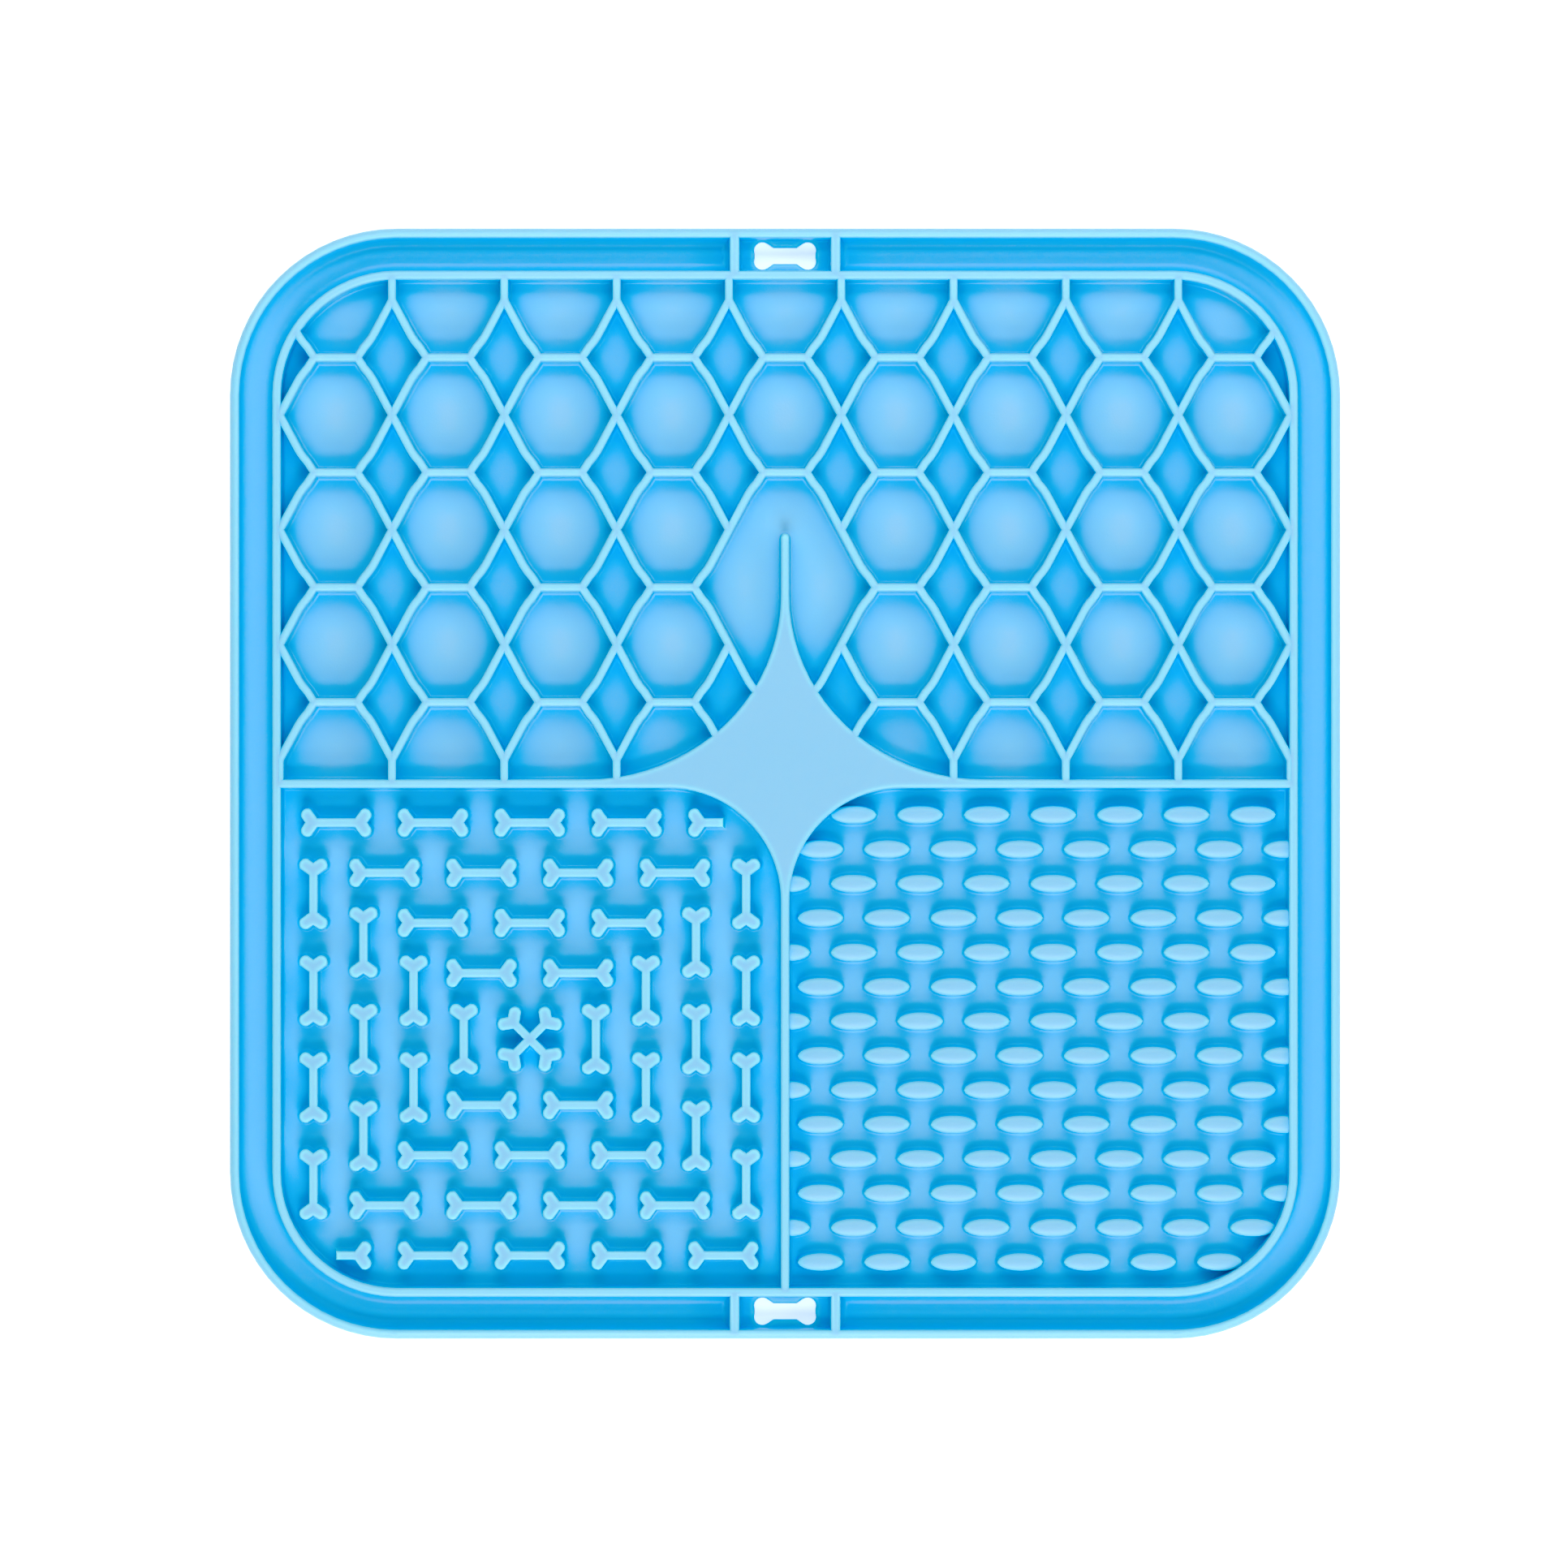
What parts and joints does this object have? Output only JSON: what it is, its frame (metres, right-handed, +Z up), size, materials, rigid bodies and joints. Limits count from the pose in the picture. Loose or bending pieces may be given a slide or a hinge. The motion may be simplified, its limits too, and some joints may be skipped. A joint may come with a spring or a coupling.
{
  "type": "lick mat",
  "caption": "Square moulded silicone lick mat with a moat round its edge and textured panels of cells, bone-shaped ridges and oval bumps, onto which soft pet food is spread.",
  "frame": {"origin": "middle of the flat underside, on the surface that the mat lies on", "axes": "+Z up, out of the textured face; +Y towards the panel of hexagon cells; +X towards the side of the ovals panel"},
  "size_m": [0.2, 0.2, 0.007],
  "materials": {
    "silicone": "satin, slightly translucent moulded silicone"
  },
  "bodies": {
    "root": {"mat": "silicone", "hanging_tab_top": "silicone", "hanging_tab_bottom": "silicone"}
  },
  "joints": []
}
